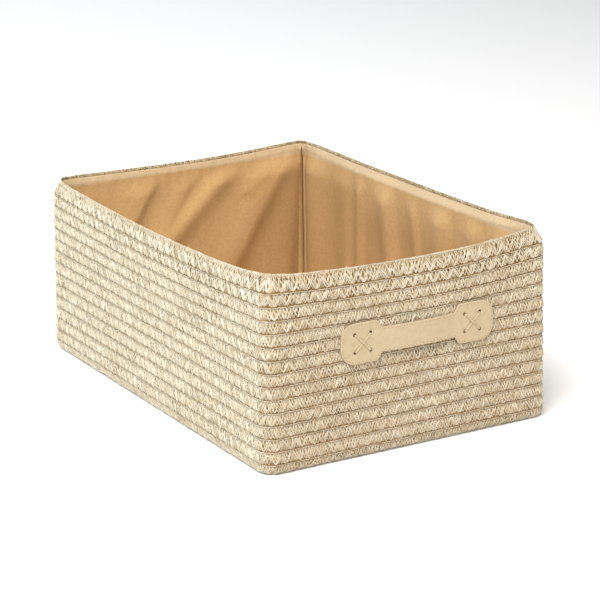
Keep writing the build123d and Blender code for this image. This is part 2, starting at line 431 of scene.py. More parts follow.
class Look:
    """A material in the making. Textures lie in object coordinates unless another vector is given."""

    def __init__(self, name, roughness, specular):
        self.material = bpy.data.materials.new(name)
        self.material.use_nodes = True
        self.nodes = self.material.node_tree.nodes
        self.links = self.material.node_tree.links
        self.shader = self.nodes["Principled BSDF"]
        self.shader.inputs["Roughness"].default_value = roughness
        self.shader.inputs["Specular IOR Level"].default_value = specular
        self.coordinates = self.nodes.new("ShaderNodeTexCoord").outputs["Object"]

    def texture(self, kind, scale, vector=None):
        """A texture node."""
        node = self.nodes.new(f"ShaderNodeTex{kind}")
        node.inputs["Scale"].default_value = scale
        self.links.new(self.coordinates if vector is None else vector, node.inputs["Vector"])
        return node

    def noise(self, scale, detail, roughness=0.6, vector=None):
        """The value of a noise."""
        node = self.texture("Noise", scale, vector)
        node.inputs["Detail"].default_value = detail
        node.inputs["Roughness"].default_value = roughness
        return node.outputs["Fac"]

    def ramp(self, value, first, last, low=0.3, high=0.7):
        """A colour that goes from first to last as a value goes from low to high."""
        node = self.nodes.new("ShaderNodeValToRGB")
        for element, place, colour in zip(node.color_ramp.elements, (low, high), (first, last)):
            element.position = place
            element.color = (*colour, 1.0)
        self.links.new(value, node.inputs["Fac"])
        return node.outputs["Color"]

    def mix(self, kind, first, second, factor=None):
        """A mix of two colours, in full if no factor is given."""
        node = self.nodes.new("ShaderNodeMix")
        node.data_type = "RGBA"
        node.blend_type = kind
        node.inputs["Factor"].default_value = 1.0
        if factor is not None:
            self.links.new(factor, node.inputs["Factor"])
        self.links.new(first, node.inputs[MIX_FIRST])
        self.links.new(second, node.inputs[MIX_SECOND])
        return node.outputs[MIX_RESULT]

    def bump(self, height, strength, distance, normal=None):
        """The normal of a bump, which may follow another one."""
        node = self.nodes.new("ShaderNodeBump")
        node.inputs["Strength"].default_value = strength
        node.inputs["Distance"].default_value = distance
        self.links.new(height, node.inputs["Height"])
        if normal is not None:
            self.links.new(normal, node.inputs["Normal"])
        return node.outputs["Normal"]

    def finish(self, colour, normal):
        """Gives the shader its colour and its normal, and returns the material."""
        self.links.new(colour, self.shader.inputs["Base Color"])
        self.links.new(normal, self.shader.inputs["Normal"])
        return self.material


# Colours of the materials: the dark and the light end of each, and what is multiplied over them
STRAW_SPECK, STRAW_CLOUD = (0.72, 0.66, 0.56), (0.93, 0.91, 0.87)
CLOTH_DARK, CLOTH_LIGHT = (0.509, 0.336, 0.158), (0.579, 0.384, 0.187)
# The paler colours are painted light for the lining's brighter top band
PAINTED_LIT_BAND_DARK, PAINTED_LIT_BAND_LIGHT = (0.523, 0.408, 0.26), (0.576, 0.455, 0.298)
WEAVE_GAP, SLUB_FLECK = (0.86, 0.82, 0.76), (0.90, 0.87, 0.82)
STRAP_DARK, STRAP_LIGHT = (0.374, 0.295, 0.181), (0.422, 0.339, 0.213)
BOARD_DARK, BOARD_LIGHT = (0.24, 0.17, 0.10), (0.32, 0.23, 0.14)
PAINTED_LIT_BAND_SOFTNESS = 3.0 * MM


def straw_material(name, light, dark, roughness, specular):
    """Straw-look tape, with a tint for each strand, fine specks and broad clouds."""
    look = Look(name, roughness, specular)
    strand = look.nodes.new("ShaderNodeAttribute")
    strand.attribute_name = "strand"
    shifted = look.nodes.new("ShaderNodeVectorMath")
    shifted.operation = "ADD"
    look.links.new(look.coordinates, shifted.inputs[0])
    look.links.new(strand.outputs["Fac"], shifted.inputs[1])
    patches = look.noise(scale=140.0, detail=2.0, vector=shifted.outputs[0])
    fibres = look.noise(scale=1400.0, detail=3.0, roughness=0.7)
    broad = look.noise(scale=18.0, detail=2.0)
    tint = look.ramp(patches, dark, light, 0.38, 0.66)
    speck = look.ramp(fibres, STRAW_SPECK, WHITE, high=0.6)
    cloud = look.ramp(broad, STRAW_CLOUD, WHITE)
    colour = look.mix("MULTIPLY", look.mix("MULTIPLY", tint, speck), cloud)
    return look.finish(colour, look.bump(fibres, strength=0.35, distance=0.2 * MM))


def weave(look, scale, axis):
    """The crossing threads of a plain weave, seen along one axis: bands across and bands up."""
    threads = look.nodes.new("ShaderNodeMath")
    threads.operation = "MULTIPLY"
    for direction, factor in zip("XYZ".replace(axis, ""), threads.inputs):
        wave = look.texture("Wave", scale)
        wave.bands_direction = direction
        wave.inputs["Distortion"].default_value = 0.6
        wave.inputs["Detail"].default_value = 1.0
        look.links.new(wave.outputs["Fac"], factor)
    return threads.outputs[0]


def painted_lit_band_mask(look):
    """0 where the lining lies on the board and 1 above it, where it lies over the straw. It marks the top
    band whose colour is painted paler, as painted light.
    """
    place = look.nodes.new("ShaderNodeSeparateXYZ")
    look.links.new(look.coordinates, place.inputs[0])
    share = look.nodes.new("ShaderNodeMapRange")
    share.interpolation_type = "SMOOTHSTEP"
    share.inputs["From Min"].default_value = BOARD_TOP - PAINTED_LIT_BAND_SOFTNESS
    share.inputs["From Max"].default_value = BOARD_TOP
    look.links.new(place.outputs["Z"], share.inputs["Value"])
    return share.outputs["Result"]


def cloth_material(axis):
    """Tan plain-weave lining for a panel that faces along an axis. Its top band above the board is painted
    paler: painted light for the brighter light near the rim.
    """
    look = Look(f"cotton_lining_{axis.lower()}", roughness=0.88, specular=0.2)
    threads = weave(look, 330.0, axis)
    slubs = look.noise(scale=420.0, detail=3.0)
    broad = look.noise(scale=14.0, detail=2.0)
    base = look.ramp(broad, CLOTH_DARK, CLOTH_LIGHT)
    pale = look.ramp(broad, PAINTED_LIT_BAND_DARK, PAINTED_LIT_BAND_LIGHT)
    grain = look.ramp(threads, WEAVE_GAP, WHITE, 0.0, 0.8)
    flecks = look.ramp(slubs, SLUB_FLECK, WHITE, 0.35, 0.65)
    base = look.mix("MIX", base, pale, painted_lit_band_mask(look))
    colour = look.mix("MULTIPLY", look.mix("MULTIPLY", base, grain), flecks)
    look.shader.inputs["Sheen Weight"].default_value = 0.05
    look.shader.inputs["Sheen Roughness"].default_value = 0.5
    relief = look.bump(threads, strength=0.35, distance=0.2 * MM)
    return look.finish(colour, look.bump(slubs, strength=0.15, distance=0.2 * MM, normal=relief))


def strap_material():
    """Cream leather-look strap with a fine pebble grain."""
    look = Look("cream_strap", roughness=0.46, specular=0.4)
    pebble = look.texture("Voronoi", scale=1500.0)
    creases = look.noise(scale=260.0, detail=4.0)
    colour = look.ramp(creases, STRAP_DARK, STRAP_LIGHT)
    relief = look.bump(pebble.outputs["Distance"], strength=0.25, distance=0.1 * MM)
    return look.finish(colour, look.bump(creases, strength=0.12, distance=0.3 * MM, normal=relief))


def cord_material(name, dark, light):
    """Matte twisted cord or thread."""
    look = Look(name, roughness=0.6, specular=0.3)
    twist = look.noise(scale=900.0, detail=2.0)
    colour = look.ramp(twist, dark, light)
    return look.finish(colour, look.bump(twist, strength=0.3, distance=0.2 * MM))


def board_material():
    """Brown paper board."""
    look = Look("stiff_board", roughness=0.9, specular=0.2)
    fibres = look.noise(scale=300.0, detail=4.0)
    colour = look.ramp(fibres, BOARD_DARK, BOARD_LIGHT)
    return look.finish(colour, look.bump(fibres, strength=0.3, distance=0.3 * MM))


STRAW = straw_material("plaited_straw", (0.745, 0.716, 0.622), (0.527, 0.446, 0.306), 0.25, 0.7)
# Darker copies of the straw for the strands behind: painted shade, where they lie in shadow under the top
# strands
STRAW_UNDER_PAINTED_SHADE = straw_material("plaited_straw_under", (0.473, 0.36, 0.203), (0.345, 0.246, 0.124), 0.6, 0.25)
STRAW_DULL = straw_material("plaited_straw_dull", (0.636, 0.55, 0.40), (0.473, 0.384, 0.242), 0.4, 0.4)
# A dark strip colour: painted shade of the crevice under each course's lower edge
STRAW_PAINTED_SEAM_SHADE = straw_material("painted_seam_shade", (0.40, 0.25, 0.09), (0.22, 0.13, 0.04), 0.7, 0.2)
STRAW_OPEN_PAINTED_SHADE = straw_material("plaited_straw_shade", (0.418, 0.303, 0.158), (0.273, 0.19, 0.089), 0.6, 0.25)
STRAP = strap_material()
LACE = cord_material("cream_lace", STRAP_DARK, (0.431, 0.349, 0.221))
# The stitch thread is partly its own tan and partly painted shade of the stitch holes, darker than the
# strap
THREAD_AND_PAINTED_SHADE = cord_material("tan_thread", (0.22, 0.145, 0.07), (0.28, 0.19, 0.10))
BOARD = board_material()
CLOTH = {axis: cloth_material(axis) for axis in "XYZ"}


def make_course(index, node):
    """One course of plaited tape in place of its plain ring."""
    rng = np.random.default_rng(COURSE_SEED + index)
    tape = FootTape(node) if node == FOOT_COURSE else UprightTape(node)
    is_open = index >= len(COURSES) - OPEN_COURSES
    geometry = Geometry()
    phase = rng.uniform(0.0, 1.0)
    for layer in OPEN_PLAIT if is_open else CLOSE_PLAIT:
        add_zigzags(geometry, tape, rng, layer, phase)
    add_chain(geometry, tape, rng, 0.0)
    # The dark strip under the lower edge is painted shade of the seam's crevice
    if node != FOOT_COURSE:
        add_strip(geometry, tape, rng, SEAM_SHADE_PLACE, SEAM_SHADE_HALF_WIDTH, PAINTED_SEAM_SHADE)
    if node == RIM_COURSE:
        add_strip(geometry, tape, rng, tape.width - RIM_STRIP_PLACE, RIM_STRIP_HALF_WIDTH, DULL)
        for down in RIM_CHAIN_PLACES:
            add_chain(geometry, tape, rng, tape.width - down)
    # The strands behind take a darker copy of the straw: painted shade
    under = STRAW_OPEN_PAINTED_SHADE if is_open else STRAW_UNDER_PAINTED_SHADE
    materials = [STRAW, under, STRAW_PAINTED_SEAM_SHADE, STRAW_DULL]
    piece = geometry.make(node.replace("braid_course", "plaited_course"), materials)
    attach(piece, "shell")
    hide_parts(node)


BASE_LAYER = Layer(0.0, 4, 1, 0.0, 0.25 * MM, 0.6 * MM, PITCH - 0.6 * MM, 0.6, 4, 1.0, BRIGHT)
BASE_CHAIN_PLACE, BASE_CHAIN_SAMPLES = 0.3 * MM, 2
BASE_RADIUS = CORNER_RADIUS - 8.0 * MM
BASE_SMALLEST = 4.0 * MM  # corner radius and half width of the inmost courses
BASE_ROUNDEST = 0.9  # corner radius as a share of a course's half width
BASE_SLAB_DROP = 1.2 * MM
BASE_SLAB_POINTS = 160
BASE_SEED = 40


def make_base():
    """The flat plaited base: courses one inside the other, on a closed backing."""
    low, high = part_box("base_braid")
    rng = np.random.default_rng(BASE_SEED)
    geometry = Geometry()
    bottom = low.z + BASE_SLAB_DROP
    for inset in np.arange(0.0, high.x - BASE_SMALLEST, PITCH):
        half_x, half_y = high.x - inset, high.y - inset
        radius = min(max(BASE_RADIUS - inset, BASE_SMALLEST), BASE_ROUNDEST * half_x)
        tape = BaseTape(half_x, half_y, radius, bottom)
        add_zigzags(geometry, tape, rng, BASE_LAYER, rng.uniform())
        add_chain(geometry, tape, rng, BASE_CHAIN_PLACE, BASE_CHAIN_SAMPLES)
    slab = Outline(high.x, high.y, BASE_RADIUS)
    centre, normal, _ = slab.at(np.linspace(0.0, slab.length, BASE_SLAB_POINTS, endpoint=False))
    rim = centre + normal * slab.radius
    rings = []
    for share, level in ((0.0, bottom), (1.0, bottom), (1.0, high.z), (0.0, high.z)):
        rings.append(np.concatenate([rim * share, np.full((len(rim), 1), level)], -1))
    # The backing takes the darker under straw: painted shade
    geometry.add(np.stack(rings, 1), closed_faces(len(rim), 4), PAINTED_UNDER_SHADE)
    piece = geometry.make("plaited_base", [STRAW, STRAW_UNDER_PAINTED_SHADE])
    weld(piece)
    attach(piece, "shell")
    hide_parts("base_braid")


for index, node in enumerate(COURSES):
    make_course(index, node)
make_base()


# ---- Lining
BAND_START = BOARD_TOP + 2.0 * MM  # above it the cloth turns out to the rim
LINING_INSET = 4.9 * MM  # of the cloth's face where it lies on the board
RIM_TUCK = 3.1 * MM  # inset of the cloth's face at its edge, where it is sewn to the rim
BAND_STANDOFF = 0.6 * MM  # of the cloth off the board, under its taut top band
LOOSE_FROM, LOOSE_TO = LINING_FLOOR + 30 * MM, BOARD_TOP - 18 * MM  # between them the cloth hangs free
HEM_RISE = -0.2 * MM  # of the cloth's edge above the plain lining's
HEM_LIFT = 0.2 * MM  # of the cloth's foot above the floor
CLOTH_THICKNESS = 0.5 * MM
CLOTH_STEP = 1.6 * MM
SEAM_REACH, SEAM_PUFF = 9.0 * MM, 1.6 * MM
PUCKER_LENGTH = 2.1 * MM  # for each radian
PUCKER_BEND, PUCKER_BEND_LENGTH = 2.2, 23 * MM
PUCKER_RISE = 0.25 * MM
PUCKERS_FROM, PUCKERS_TO = LINING_TOP - 30 * MM, LINING_TOP - 6 * MM
FLOOR_COLUMNS, FLOOR_RINGS = 240, 70
FLOOR_RADIUS = CORNER_RADIUS - LINING_INSET - 1.0 * MM
WRINKLE_RISE = 0.5 * MM
WRINKLES_END = 0.85  # share of the way to the floor's edge
WRINKLE_X, WRINKLE_Y = 19 * MM, 33 * MM  # lengths, for each radian
WRINKLE_BEND, BEND_X, BEND_Y = 1.8, 61 * MM, 47 * MM
CREST_SOFTNESS = 2.0  # of a fold, in millimetres


def fold(along, height, start, end, left, right, rise):
    """A soft fold in the cloth. Its crest runs from start to end (distance along, height), and each flank
    has its own width."""
    start, end = np.array(start) * MM, np.array(end) * MM
    line = (end - start) / math.dist(start, end)
    x, y = along - start[0], height - start[1]
    down = np.clip(x * line[0] + y * line[1], 0.0, math.dist(start, end))
    away = np.hypot(x - down * line[0], y - down * line[1]) / MM
    beside = (y * line[0] - x * line[1]) / MM
    width = left + (right - left) * smoothstep(beside, -CREST_SOFTNESS, CREST_SOFTNESS)
    return rise * MM * bell(away, width)


# Folds: start, end, width to the left and to the right, and rise, in millimetres. Distances along a wall
# are from its middle, to the right as seen from inside the bin.
BACK_FOLDS = [
    ((-33, 149), (-82, 55), 15, 5, 4.2),
    ((11, 152), (-32, 82), 8, 5, 2.4),
    ((47, 149), (-48, 52), 7, 9, 5.5),
    ((94, 150), (68, 124), 9, 5, 1.5),
    ((108, 153), (48, 50), 15, 8, 5.0),
    ((118, 140), (108, 30), 16, 8, 3.4),
]
RIGHT_FOLDS = [
    ((-166, 149), (-168, 20), 10, 15, 7.5),
    ((-109, 149), (-111, 20), 13, 5, 3.6),
    ((-82, 151), (-89, 20), 6, 3, 4.8),
    ((-40, 150), (-26, 30), 12, 6, 7.0),
    ((2, 150), (15, 60), 7, 3, 3.6),
    ((50, 149), (46, 30), 11, 6, 6.5),
    ((97, 149), (99, 30), 10, 6, 5.6),
    ((142, 149), (142, 30), 10, 6, 4.6),
]


# Folds of a wall without folds of its own, in millimetres: their tops stray, and their feet are shifted
FOLD_SEED = 7
FOLD_TOP, FOLD_FEET = 150, (20, 50)
FOLD_SPREAD = 0.8  # share of the reach
TOP_STRAY = 5
FOOT_SHIFT, FOOT_STRAY = -8, 12
FOLD_WIDTHS = (7, 13)
FOLD_RISES = (2.6, 5.2)


def random_folds(rng, reach, count):
    """Folds for a wall, spread along it, each leaning a little."""
    folds = []
    for place in np.linspace(-FOLD_SPREAD, FOLD_SPREAD, count) * reach:
        top = place + rng.normal(0, TOP_STRAY)
        foot = top + rng.normal(FOOT_SHIFT, FOOT_STRAY)
        left, right = rng.uniform(*FOLD_WIDTHS, 2)
        start, end = (top, FOLD_TOP), (foot, rng.uniform(*FOLD_FEET))
        folds.append((start, end, left, right, rng.uniform(*FOLD_RISES)))
    return folds


def cloth_inset(along, height, half_length, folds):
    """How far inside the shell's outermost line the face of the cloth lies."""
    loose = smoothstep(height, LINING_FLOOR, LOOSE_FROM)
    loose = loose * (1.0 - smoothstep(height, LOOSE_TO, BAND_START))
    lift = BAND_STANDOFF * loose
    for crest in folds:
        lift = lift + fold(along, height, *crest) * loose
    pucker = np.sin(along / PUCKER_LENGTH + PUCKER_BEND * np.sin(along / PUCKER_BEND_LENGTH))
    lift = lift + PUCKER_RISE * (1 + pucker) * smoothstep(height, PUCKERS_FROM, PUCKERS_TO)
    edge = half_length - np.abs(along)
    puff = SEAM_PUFF * np.sin(math.pi * np.clip(edge / SEAM_REACH, 0.0, 1.0))
    inset = LINING_INSET + lift * smoothstep(edge, 0.0, SEAM_REACH) + puff
    tuck = smoothstep(height, BAND_START, LINING_TOP)
    return inset * (1 - tuck) + RIM_TUCK * tuck


def thicken(piece):
    """Gives a cloth its thickness, towards its back."""
    solid = piece.modifiers.new("thickness", "SOLIDIFY")
    solid.thickness = CLOTH_THICKNESS
    solid.offset = -1.0
    apply_modifiers(piece)


def apply_modifiers(piece):
    """Replaces a piece's mesh with what its modifiers make of it."""
    graph = bpy.context.evaluated_depsgraph_get()
    mesh = bpy.data.meshes.new_from_object(piece.evaluated_get(graph))
    piece.modifiers.clear()
    piece.data = mesh


def make_cloth(node, axis, plan, height, faces):
    """The cloth of one panel of the lining, in place of its plain solid."""
    geometry = Geometry()
    geometry.add(np.concatenate([plan, height[..., None]], -1), faces)
    piece = geometry.make(f"{node}_cloth", [CLOTH[axis]])
    weld(piece)
    thicken(piece)
    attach(piece, "shell")
    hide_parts(node)
    return piece


def make_lining_wall(node, middle, half_length, folds, axis):
    """The lining of one wall, from corner seam to corner seam."""
    columns = int(2 * half_length / CLOTH_STEP) + 1
    rows = int((LINING_TOP - LINING_FLOOR) / CLOTH_STEP) + 1
    local = np.linspace(-half_length, half_length, columns)[None, :].repeat(rows, 0)
    flat_height = np.linspace(LINING_FLOOR + HEM_LIFT, LINING_TOP + HEM_RISE, rows)
    flat_height = flat_height[:, None].repeat(columns, 1)
    centre, normal, slack = FOOT_OUTLINE.at(middle + local)
    plan = centre + normal * CORNER_RADIUS
    bow, height = soften(plan, normal, slack, np.zeros_like(local), flat_height)
    inset = cloth_inset(-local, flat_height, half_length, folds)
    free = smoothstep(flat_height, BAND_START, LINING_TOP)
    offset = bow * np.where(bow > 0, free, 1.0) - inset - LEAN * height
    plan = plan + normal * offset[..., None]
    piece = make_cloth(node, axis, plan, height, open_faces(rows, columns)[:, ::-1])


def floor_wrinkles(x, y):
    """Crossing waves from 0 to 2, bent so that they don't look regular."""
    ripple = np.sin(x / WRINKLE_X + WRINKLE_BEND * np.sin(y / BEND_Y))
    return 1 + ripple * np.sin(y / WRINKLE_Y + x / BEND_X)


def make_lining_floor():
    """The cloth on the floor of the bin, a little wrinkled."""
    low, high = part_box("lining_base")
    outline = Outline(high.x, high.y, FLOOR_RADIUS)
    centre, normal, _ = outline.at(np.linspace(0.0, outline.length, FLOOR_COLUMNS, endpoint=False))
    rim = centre + normal * outline.radius
    share = np.linspace(0.0, 1.0, FLOOR_RINGS)[:, None, None]
    plan = rim[None] * share
    calm = 1.0 - smoothstep(share[..., 0], WRINKLES_END, 1.0)
    height = high.z + WRINKLE_RISE * floor_wrinkles(plan[..., 0], plan[..., 1]) * calm
    piece = make_cloth("lining_base", "Z", plan, height, tube_faces(FLOOR_RINGS, FLOOR_COLUMNS))


def make_lining():
    """The cloths of the floor and of the four walls, each from corner to corner."""
    make_lining_floor()
    half_arc = math.pi / 4 * CORNER_RADIUS
    half_x, half_y = FOOT_OUTLINE.straight_x + half_arc, FOOT_OUTLINE.straight_y + half_arc
    rng = np.random.default_rng(FOLD_SEED)
    front_folds = random_folds(rng, reach=110, count=5)
    left_folds = random_folds(rng, reach=160, count=8)
    make_lining_wall("lining_front", 0.0, half_x, front_folds, "Y")
    make_lining_wall("lining_right", half_x + half_y, half_y, RIGHT_FOLDS, "X")
    make_lining_wall("lining_back", FOOT_OUTLINE.length / 2, half_x, BACK_FOLDS, "Y")
    make_lining_wall("lining_left", -half_x - half_y, half_y, left_folds, "X")


make_lining()
for node in ("wall_stiffener", "base_board"):
    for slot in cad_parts[node].material_slots:
        slot.material = BOARD


# ---- Handles
STRAP_THICKNESS = 2.2 * MM
STRAP_VOXEL = 0.5 * MM
GRIP_HALF_HEIGHT = 10.2 * MM
ROOT_RUN, ROOT_X, ROOT_Y = 1.0 * MM, 0.4 * MM, 0.8 * MM  # the curve where the grip widens
SHOULDER_RUN, SHOULDER_X, SHOULDER_Y = 3.5 * MM, 1.5 * MM, 1.0 * MM  # the bevel where the tab begins
TAB_END_RADIUS = 13.0 * MM
TAB_END_STEP = 10  # degrees
STRAP_BOW = 1.6 * MM
BOW_FLAT = 0.25  # share of the half grip where the bow is full
BOW_RUNOUT = 8 * MM  # how far it runs on into the tab
HOLE_SPACING = 14.6 * MM
HOLE_INSET = 20.2 * MM
HOLE_RADIUS = 1.45 * MM
PUNCH_DEPTH = 10 * MM
DENT_DEPTH, DENT_REACH = 0.35 * MM, 1.7 * MM
LACE_HALF_WIDTH, LACE_HALF_THICKNESS = 0.95 * MM, 0.42 * MM
LACE_SINK = 0.7  # height of a lace's middle on the strap, in half thicknesses
LACE_LIFT = 2.2  # rise of the upper lace over the lower one, in half thicknesses
LACE_LIFT_RUN = 0.15  # share of a lace's span
LACE_ENTRY = 0.55 * MM  # from the middle of a hole towards the other hole
LACE_DEPTH = 2.6 * MM
LACE_TURN_RUN, LACE_TURN_DROP = 0.3 * MM, 0.6 * MM  # where it turns into a hole
LACE_SIDES = 10
STITCH_LENGTH = 1.5 * MM
STITCH_PITCH = 3.4 * MM
STITCH_INSET = 1.7 * MM
STITCH_SINK = 0.05 * MM
STITCH_RADIUS = 0.24 * MM
STITCH_FLATNESS = 1.3


class Strap:
    """The frame and the sizes of one strap, read from its tabs. Its own axes are x along, y up, z out."""

    def __init__(self, name, facing):
        self.name = name
        low_a, high_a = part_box(f"{name}_handle_tab_left")
        low_b, high_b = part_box(f"{name}_handle_tab_right")
        low = Vector(map(min, low_a, low_b))
        high = Vector(map(max, high_a, high_b))
        self.half_length = (high.x - low.x) / 2
        self.tab_length = high_a.x - low_a.x
        self.half_height = (high.z - low.z) / 2
        self.grip_half = self.half_length - self.tab_length
        centre = (low + high) / 2
        tilt = math.atan(LEAN)
        x_axis = Vector((-facing, 0, 0))
        z_axis = Vector((0, facing * math.cos(tilt), math.sin(tilt)))
        y_axis = z_axis.cross(x_axis)
        self.matrix = Matrix((x_axis, y_axis, z_axis)).transposed().to_4x4()
        self.matrix.translation = centre
        grip_low, grip_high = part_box(f"{name}_handle_grip")
        self.standoff = abs((grip_low.y + grip_high.y) / 2 - centre.y)
        self.hole_centre = self.half_length - HOLE_INSET

    def bow(self, x):
        """How far the strap stands off the wall at a distance from its middle."""
        free = 1.0 - smoothstep(np.abs(x), BOW_FLAT * self.grip_half, self.grip_half + BOW_RUNOUT)
        return (self.standoff + STRAP_BOW) * free


def strap_outline(strap):
    """Corners of the strap's outline, anticlockwise, with its round ends."""
    shoulder = strap.grip_half + SHOULDER_RUN
    right_up = []
    for angle in range(0, 91, TAB_END_STEP):
        turn = math.radians(angle)
        x = strap.half_length - TAB_END_RADIUS * (1 - math.cos(turn))
        y = strap.half_height - TAB_END_RADIUS * (1 - math.sin(turn))
        right_up.append((x, y))
    right_up += [
        (shoulder + SHOULDER_X, strap.half_height),
        (shoulder, strap.half_height - SHOULDER_Y),
        (strap.grip_half + ROOT_X, GRIP_HALF_HEIGHT + ROOT_Y),
        (strap.grip_half - ROOT_RUN, GRIP_HALF_HEIGHT),
    ]
    left_up = [(-x, y) for x, y in reversed(right_up)]
    left_down = [(x, -y) for x, y in reversed(left_up)]
    right_down = [(-x, y) for x, y in reversed(left_down)]
    return right_up + left_up + left_down + right_down


def hole_places(strap):
    """The hole centres of both tabs."""
    return [
        (side * strap.hole_centre + column * HOLE_SPACING / 2, row * HOLE_SPACING / 2)
        for side, column, row in product((-1, 1), repeat=3)
    ]


def object_from_bmesh(name, shape, materials):
    """A new object from a bmesh."""
    mesh = bpy.data.meshes.new(name)
    shape.to_mesh(mesh)
    shape.free()
    return new_object(name, mesh, materials)


def strap_blank(strap):
    """The whole strap, flat, in its own axes: a remeshed plate with soft edges and lace holes."""
    plate = bmesh.new()
    corners = [plate.verts.new((x, y, -STRAP_THICKNESS / 2)) for x, y in strap_outline(strap)]
    face = plate.faces.new(corners)
    grown = bmesh.ops.extrude_face_region(plate, geom=[face])["geom"]
    lifted = [part for part in grown if isinstance(part, bmesh.types.BMVert)]
    bmesh.ops.translate(plate, verts=lifted, vec=(0, 0, STRAP_THICKNESS))
    bmesh.ops.recalc_face_normals(plate, faces=plate.faces)
    blank = object_from_bmesh(f"{strap.name}_strap_blank", plate, [STRAP])
    punches = bmesh.new()
    for x, y in hole_places(strap):
        place = Matrix.Translation((x, y, 0))
        bmesh.ops.create_cone(
            punches, segments=20, radius1=HOLE_RADIUS, radius2=HOLE_RADIUS, depth=PUNCH_DEPTH,
            cap_ends=True, matrix=place,
        )
    punch = object_from_bmesh(f"{strap.name}_strap_punch", punches, [])
    cut = blank.modifiers.new("holes", "BOOLEAN")
    cut.object = punch
    cut.solver = "EXACT"
    remesh = blank.modifiers.new("remesh", "REMESH")
    remesh.mode = "VOXEL"
    remesh.voxel_size = STRAP_VOXEL
    smooth = blank.modifiers.new("smooth", "SMOOTH")
    smooth.iterations = 3
    apply_modifiers(blank)
    bpy.data.objects.remove(punch)
    return blank


def shape_strap(strap, blank):
    """Moves the strap's vertices: its bow, and the dents round its lace holes."""
    mesh = blank.data
    points = np.empty(len(mesh.vertices) * 3)
    mesh.vertices.foreach_get("co", points)
    points = points.reshape(-1, 3)
    x, y = points[:, 0], points[:, 1]
    face = smoothstep(points[:, 2], 0.0, STRAP_THICKNESS / 2)
    dent = np.zeros(len(points))
    for hole_x, hole_y in hole_places(strap):
        dent += DENT_DEPTH * bell(np.hypot(x - hole_x, y - hole_y), DENT_REACH)
    points[:, 2] += strap.bow(x) - dent * face
    mesh.vertices.foreach_set("co", points.ravel())
    mesh.update()


def half_of(blank, name, side):
    """The part of a blank on one side of its middle, closed where it is cut."""
    half = bmesh.new()
    half.from_mesh(blank.data)
    everything = half.verts[:] + half.edges[:] + half.faces[:]
    cut = bmesh.ops.bisect_plane(
        half, geom=everything, plane_co=(0, 0, 0), plane_no=(side, 0, 0), clear_inner=True
    )["geom_cut"]
    edges = [part for part in cut if isinstance(part, bmesh.types.BMEdge)]
    bmesh.ops.holes_fill(half, edges=edges)
    for face in half.faces:
        face.smooth = True
    return object_from_bmesh(name, half, [STRAP])


def stitch_places(strap):
    """Places and directions of the edge stitches, a little inside the strap's outline."""
    corners = np.array(strap_outline(strap))
    ahead = np.roll(corners, -1, 0) - corners
    starts = np.concatenate([[0.0], np.cumsum(np.hypot(ahead[:, 0], ahead[:, 1]))])
    closed = np.concatenate([corners, corners[:1]])
    count = int(starts[-1] / STITCH_PITCH)
    places = []
    for index in range(count):
        middle = (index + 0.5) * starts[-1] / count
        ends = [middle - STITCH_LENGTH / 2, middle, middle + STITCH_LENGTH / 2]
        x = np.interp(ends, starts, closed[:, 0])
        y = np.interp(ends, starts, closed[:, 1])
        direction = np.array([x[2] - x[0], y[2] - y[0]])
        direction /= np.hypot(*direction)
        inward = np.array([-direction[1], direction[0]])
        places.append((np.array([x[1], y[1]]) + inward * STITCH_INSET, direction))
    return places


def make_stitches(strap, side):
    """The thread along the edge of one half of a strap: short stitches sunk into its face. Its dark colour
    is partly the thread's own tan and partly painted shade of the stitch holes.
    """
    thread = bmesh.new()
    for place, direction in stitch_places(strap):
        if place[0] * side <= STITCH_LENGTH / 2:
            continue
        height = STRAP_THICKNESS / 2 + strap.bow(place[0]) - STITCH_SINK
        spin = Matrix.Rotation(math.atan2(direction[1], direction[0]), 4, "Z")
        stretch = Matrix.Diagonal((STITCH_LENGTH / 2, STITCH_RADIUS * STITCH_FLATNESS, STITCH_RADIUS, 1))
        matrix = Matrix.Translation((*place, height)) @ spin @ stretch
        bmesh.ops.create_uvsphere(thread, u_segments=8, v_segments=6, radius=1.0, matrix=matrix)
    thread.verts.index_update()
    thread.faces.sort(key=lambda face: sum(vert.index**3 for vert in face.verts))  # the same in every run
    for face in thread.faces:
        face.smooth = True
    word = "right" if side > 0 else "left"
    return object_from_bmesh(f"{strap.name}_strap_stitches_{word}", thread, [THREAD_AND_PAINTED_SHADE])


def rounded(points, rounds):
    """A path with its corners cut again and again, which makes it smooth. Its ends stay."""
    for _ in range(rounds):
        near = 0.75 * points[:-1] + 0.25 * points[1:]
        far = 0.25 * points[:-1] + 0.75 * points[1:]
        middle = np.stack([near, far], 1).reshape(-1, points.shape[1])
        points = np.concatenate([points[:1], middle, points[-1:]])
    return points


